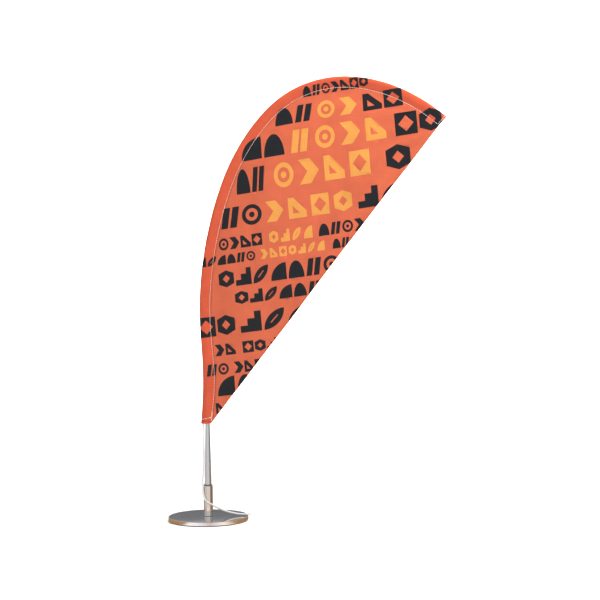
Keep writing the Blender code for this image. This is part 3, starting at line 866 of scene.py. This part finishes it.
class FLAG_OT_cord(Operator):
    """Elastic tension cord with its braided cover and its knot"""
    bl_idname = "flag.cord"
    bl_label = "Tension cord"

    def execute(self, context):
        finish = braided_cover(settings().cord.colour)
        path = self.path()
        knot = self.add_knot(path, finish)
        cord = self.add_cord(path, finish)
        for made, node in ((cord, "tension_cord"), (knot, "cord_knot")):
            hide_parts(node)
            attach(made, "flag")
        return {'FINISHED'}

    def path(self):
        """Close points on the smooth curve through the route."""
        count = (len(CORD_ROUTE) - 1) * CORD_SPAN_STEPS
        return [smooth_value(CORD_ROUTE, i / count) for i in range(count + 1)]

    def add_cord(self, path, finish):
        """The braid: ridges of strands that cross one another round the cord."""
        cord = settings().cord
        rings = []
        run = 0.0
        for i, (point, (side, up)) in enumerate(zip(path, frames_along(path))):
            run += (point - path[i - 1]).length if i else 0.0
            ring = []
            for j in range(CORD_SIDES):
                turn = 2 * math.pi * j / CORD_SIDES
                spiral = math.pi * run / cord.braid_pitch
                left = abs(math.sin(cord.strands / 2 * turn + spiral))
                right = abs(math.sin(cord.strands / 2 * turn - spiral))
                radius = CORD_DIAMETER / 2 * (0.9 + 0.1 * max(left, right))
                ring.append(point + (side * math.cos(turn) + up * math.sin(turn)) * radius)
            rings.append(ring)
        bm = bmesh.new()
        tube(bm, rings)
        return mesh_object("tension_cord_braid", bm, [finish])

    def add_knot(self, path, finish):
        """A tight overhand knot, drawn as a three-lobed loop, and the sealed tail past it."""
        centre = (KNOT_LOW + KNOT_HIGH) / 2
        axis = (path[-1] - path[-2]).normalized()
        side = axis.orthogonal().normalized()
        up = axis.cross(side)
        points = []
        count = 72
        for i in range(count):
            t = 2 * math.pi * i / count
            across = math.sin(t) + 2 * math.sin(2 * t)
            over = math.cos(t) - 2 * math.cos(2 * t)
            points.append(centre + (side * across + axis * over) * KNOT_REACH
                          + up * (-math.sin(3 * t)) * KNOT_REACH * 1.6)
        bm = bmesh.new()
        round_tube(bm, points, [KNOT_STRAND] * count, KNOT_SIDES, closed=True)
        tail = [centre + axis * (run * MM) + up * (0.25 * MM) for run, _ in KNOT_TAIL]
        round_tube(bm, tail, [radius * MM for _, radius in KNOT_TAIL], KNOT_SIDES)
        bmesh.ops.recalc_face_normals(bm, faces=bm.faces)
        return mesh_object("cord_end_knot", bm, [finish])


class FLAG_OT_cloth(Operator):
    """Printed flag and the sleeve folded round the rod"""
    bl_idname = "flag.cloth"
    bl_label = "Flag and sleeve"

    def execute(self, context):
        cloth = settings().cloth
        bend = Bend()
        field = Field(bend, cloth.belly)
        points, cut = cut_cloth(bend)
        finishes = [printed_polyester("flag_orange_knit", cloth.ground),
                    printed_polyester("flag_charcoal_print", cloth.dark_ink),
                    printed_polyester("flag_amber_print", cloth.light_ink)]
        folded = printed_polyester("sleeve_orange_knit", cloth.sleeve)
        measured = [bend.measure(p.x, p.y) for p in points]
        fronts = []
        for p, (distance, inward) in zip(points, measured):
            if on_sleeve(distance, inward):
                y = -sleeve_half(distance, inward)
            else:
                y = field.sideways(p.x, p.y, distance, inward)
            fronts.append(Vector((p.x, y, p.y)))

        flat = [(corners, ink) for corners, ink, sleeved, _ in cut if not sleeved]
        panel = self.add_sheet("flag_cloth", fronts, [(c, i, False) for c, i in flat], finishes)

        backs = []
        for p, (distance, inward), front in zip(points, measured, fronts):
            if on_sleeve(distance, inward):
                y = sleeve_half(distance, inward)
            else:
                y = front.y + MARGIN_LAYERS * SEAM_LAYER
            backs.append(Vector((p.x, y, p.y)))
        both = fronts + backs
        shift = len(points)
        rim = self.rim(cut, measured)
        for i in rim:
            fronts[i].y = 0.0
        faces = []
        for corners, ink, sleeved, on_margin in cut:
            if sleeved:
                faces.append((corners, ink, False))
            if sleeved or on_margin:
                back = [i if i in rim else i + shift for i in corners]
                faces.append((back, ink if on_margin else 0, True))
        sleeve = self.add_sheet("sleeve_cloth", both, faces, [folded] + finishes[1:])

        for made, node in ((panel, "flag_panel"), (sleeve, "pole_sleeve")):
            solidify(made, cloth.thickness)
            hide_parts(node)
            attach(made, "flag")
        return {'FINISHED'}

    def rim(self, cut, measured):
        """Corners on the fold, which the front and the back of the sleeve share."""
        uses = {}
        for corners, _, _, _ in cut:
            for pair in zip(corners, (corners[1], corners[2], corners[0])):
                key = tuple(sorted(pair))
                uses[key] = uses.get(key, 0) + 1
        at_fold = {i for i, (distance, inward) in enumerate(measured)
                   if inward + fold_at(distance) < FOLD_NEAR}
        return {i for pair, count in uses.items() if count == 1 and at_fold.issuperset(pair)
                for i in pair}

    def area(self, corners):
        a, b, c = corners
        return abs((b - a).cross(c - a)) / 2

    def add_sheet(self, name, points, faces, finishes):
        """A sheet of the triangles in use, fronts towards -Y and backs towards +Y."""
        used = sorted({i for corners, _, _ in faces for i in corners})
        place = {old: new for new, old in enumerate(used)}
        turned = []
        for corners, _, behind in faces:
            a, b, c = (points[i] for i in corners)
            faces_back = (b - a).cross(c - a).y > 0
            order = corners if faces_back == behind else list(reversed(corners))
            turned.append([place[i] for i in order])
        mesh = bpy.data.meshes.new(name)
        mesh.from_pydata([points[i] for i in used], [], turned)
        mesh.polygons.foreach_set("material_index", [ink for _, ink, _ in faces])
        mesh.update()
        return put_object(name, mesh, finishes)


class FLAG_OT_edges(Operator):
    """Turned-in hem at the sleeve's mouth and the sealed trailing edge"""
    bl_idname = "flag.edges"
    bl_label = "Hem and edge"

    def execute(self, context):
        cloth = settings().cloth
        bend = Bend()
        finish = printed_polyester("hem_orange_knit", scaled(cloth.sleeve, 1.06))
        self.add_hem(bend, finish)
        self.add_edge(bend, Field(bend, cloth.belly), finish)
        return {'FINISHED'}

    def add_hem(self, bend, finish):
        """A strip that wraps the mouth's raw edge and runs up inside it."""
        loop = mouth_loop(bend, -OVERLAP)
        count = len(loop)
        tangents = [(loop[(i + 1) % count] - loop[i - 1]).normalized() for i in range(count)]
        outwards = [Vector((tangent.y, -tangent.x, 0)) for tangent in tangents]
        bm = bmesh.new()
        skin(bm, [[point + outward * out * MM + Vector((0, 0, rise * MM))
                   for point, outward in zip(loop, outwards)] for out, rise in HEM_SECTION])
        bmesh.ops.recalc_face_normals(bm, faces=bm.faces)
        hem = mesh_object("sleeve_hem", bm, [finish])
        solidify(hem, HEM_THICKNESS)
        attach(hem, "flag")

    def add_edge(self, bend, field, finish):
        """The bead that a hot knife leaves along the straight edge, just short of its ends."""
        count = 96
        path = []
        for i in range(count + 1):
            spot = field.low.lerp(field.top, 0.004 + 0.992 * i / count)
            distance, inward = bend.measure(*spot)
            path.append(Vector((spot.x, field.sideways(*spot, distance, inward), spot.y)))
        bm = bmesh.new()
        round_tube(bm, path, [BEAD_RADIUS] * len(path), 8)
        bead = mesh_object("trailing_edge_bead", bm, [finish])
        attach(bead, "flag")


class FLAG_OT_stitching(Operator):
    """Lockstitch along the sleeve, round the hem and across the tip, and the bar tack"""
    bl_idname = "flag.stitching"
    bl_label = "Stitching"

    def execute(self, context):
        cloth = settings().cloth
        self.width = cloth.thread_width
        self.pitch = cloth.stitch
        self.skin = cloth.thickness / 2
        finish = sewing_thread(cloth.thread)
        bend = Bend()
        self.add_thread("sleeve_seam_thread", finish, self.seam(bend))
        self.add_thread("hem_thread", finish, self.hem(bend), HEM_SWELL)
        self.add_thread("tip_thread", finish, self.tip(bend))
        self.add_thread("bar_tack", finish, self.bar_tack(bend))
        return {'FINISHED'}

    def add_thread(self, name, finish, runs, swell=1.0):
        """Each stitch is a short plump grain laid into the cloth."""
        bm = bmesh.new()
        for start, end in runs:
            points = [start + (end - start) * stop for stop, _ in GRAIN]
            round_tube(bm, points, [self.width / 2 * size * swell for _, size in GRAIN], 6)
        made = mesh_object(name, bm, [finish])
        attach(made, "flag")

    def laid(self, points):
        """Split a line of points into stitches with a small gap after each."""
        return [(a.lerp(b, 0.04), a.lerp(b, 0.93)) for a, b in zip(points, points[1:])]

    def both_sides(self, bend, count, place, gaps=True):
        """Stitches on the front and on the back; `place` gives distance, inward and lift."""
        runs = []
        for side in (-1, 1):
            line = []
            for i in range(count + 1):
                distance, inward, lift = place(i)
                line.append(bend.point(distance, inward, side * lift))
            runs += self.laid(line) if gaps else zip(line, line[1:])
        return runs

    def seam(self, bend):
        """The row that closes the sleeve, from just above its mouth to its tip."""
        count = round((SLEEVE_LENGTH + OVERLAP - 3 * MM) / self.pitch)

        def place(i):
            distance = -OVERLAP + 2 * MM + (SLEEVE_LENGTH + OVERLAP - 4.5 * MM) * i / count
            return (distance, seam_at(distance) - 0.2 * MM,
                    SEAM_LAYER + self.skin + self.width * SEAM_LIFT)

        return self.both_sides(bend, count, place)

    def hem(self, bend):
        loop = mouth_loop(bend, -OVERLAP + HEM_LINE, self.skin + self.width * LOOP_LIFT, HEM_SLANT)
        return self.laid(self.respaced(loop + loop[:1]))

    def tip(self, bend):
        """A short row across the sleeve that closes its end."""
        count = 5
        distance = SLEEVE_LENGTH - TIP_INSET
        start = -fold_at(distance) * TIP_START

        def place(i):
            inward = start + (seam_at(distance) - start) * i / count
            return (distance, inward,
                    sleeve_half(distance, inward) + self.skin + self.width * LOOP_LIFT)

        return self.both_sides(bend, count, place)

    def bar_tack(self, bend):
        """Close zigzag over the lower end of the seam."""
        count = 22

        def place(i):
            distance = -OVERLAP + (2.5 + 9.5 * i / count) * MM
            swing = (0.75 if i % 2 else -0.75) * MM
            return (distance, seam_at(distance) - 0.3 * MM + swing,
                    SEAM_LAYER + self.skin + self.width * TACK_LIFT)

        return self.both_sides(bend, count, place, gaps=False)

    def respaced(self, points):
        """The same line with points one stitch apart."""
        total = sum((b - a).length for a, b in zip(points, points[1:]))
        count = max(round(total / self.pitch), 1)
        found = []
        run = 0.0
        target = 0.0
        for a, b in zip(points, points[1:]):
            length = (b - a).length
            while target <= run + length + 1e-9 and len(found) <= count:
                found.append(a.lerp(b, (target - run) / length))
                target += total / count
            run += length
        return found


class FLAG_OT_metal(Operator):
    """Finishes of the steel base, socket, mast, screw and ferrule"""
    bl_idname = "flag.metal"
    bl_label = "Metal parts"

    def execute(self, context):
        stand = settings().stand
        for node, *look in (
                ("base_disc", "polished_stainless", stand.steel, 0.045,
                 1.5 * MM, (1, 1, 1), 0.002 * MM),
                ("socket", "bright_chrome", stand.chrome, 0.1,
                 2 * MM, (1, 1, 0.1), 0.003 * MM),
                ("mast_tube", "drawn_aluminium", stand.aluminium, 0.24,
                 0.8 * MM, (1, 1, 0.02), 0.01 * MM),
                ("base_screw", "zinc_plate", from_hex("B9BABB"), 0.34,
                 0.6 * MM, (1, 1, 1), 0.01 * MM),
                ("rod_ferrule", "turned_brass", stand.brass, 0.26,
                 0.5 * MM, (0.2, 0.2, 1), 0.01 * MM)):
            dress(node, polished_metal(*look))
        return {'FINISHED'}


class FLAG_OT_plastic(Operator):
    """Finishes of the bush, plug, tip cap, foam pad and glass-fibre rod"""
    bl_idname = "flag.plastic"
    bl_label = "Plastic parts"

    def execute(self, context):
        stand = settings().stand
        for node, *look in (
                ("socket_bush", "graphite_nylon", stand.bush, 0.45, 0.5 * MM, 0.01 * MM),
                ("mast_foot_plug", "moulded_polyethylene", stand.nylon, 0.55,
                 0.6 * MM, 0.02 * MM),
                ("rod_tip_cap", "dipped_vinyl", stand.nylon, 0.4, 0.5 * MM, 0.01 * MM),
                ("base_pad", "cellular_foam", from_hex("1D1D1F"), 0.92, 0.7 * MM, 0.12 * MM),
                ("flex_rod", "pultruded_glass_fibre", stand.fibre, 0.35, 0.8 * MM, 0.02 * MM)):
            dress(node, moulded(*look))
        return {'FINISHED'}


def dress(name, finish):
    """Give a frame node its finish in every material slot."""
    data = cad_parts[name].data
    if not data.materials:
        data.materials.append(finish)
    for index in range(len(data.materials)):
        data.materials[index] = finish


class FLAG_PT_sidebar(Panel):
    """Builds the flag's looks from the 3D view's sidebar"""
    bl_idname = "FLAG_PT_sidebar"
    bl_label = "Teardrop flag"
    bl_space_type = 'VIEW_3D'
    bl_region_type = 'UI'
    bl_category = "Flag"

    def draw(self, context):
        held = context.scene.teardrop_flag
        for label, group in (("Cloth", held.cloth), ("Cord", held.cord), ("Stand", held.stand),
                             ("Stage", held.stage)):
            box = self.layout.box()
            box.label(text=label)
            for name in group.bl_rna.properties.keys():
                if name not in ("rna_type", "name"):
                    box.prop(group, name)
        for operator in STEPS:
            self.layout.operator(operator.bl_idname)


GROUPS = (ClothSettings, CordSettings, StandSettings, StageSettings, FlagSettings)
STEPS = (FLAG_OT_stage, FLAG_OT_cord, FLAG_OT_cloth, FLAG_OT_edges, FLAG_OT_stitching,
         FLAG_OT_metal, FLAG_OT_plastic)


def register():
    for item in (*GROUPS, *STEPS, FLAG_PT_sidebar):
        bpy.utils.register_class(item)
    bpy.types.Scene.teardrop_flag = PointerProperty(type=FlagSettings)


def unregister():
    del bpy.types.Scene.teardrop_flag
    for item in reversed((*GROUPS, *STEPS, FLAG_PT_sidebar)):
        bpy.utils.unregister_class(item)


def main():
    register()
    bpy.ops.flag.stage()
    bpy.ops.flag.cord()
    bpy.ops.flag.cloth()
    bpy.ops.flag.edges()
    bpy.ops.flag.stitching()
    bpy.ops.flag.metal()
    bpy.ops.flag.plastic()
    bpy.context.view_layer.update()


if __name__ == "__main__":
    main()
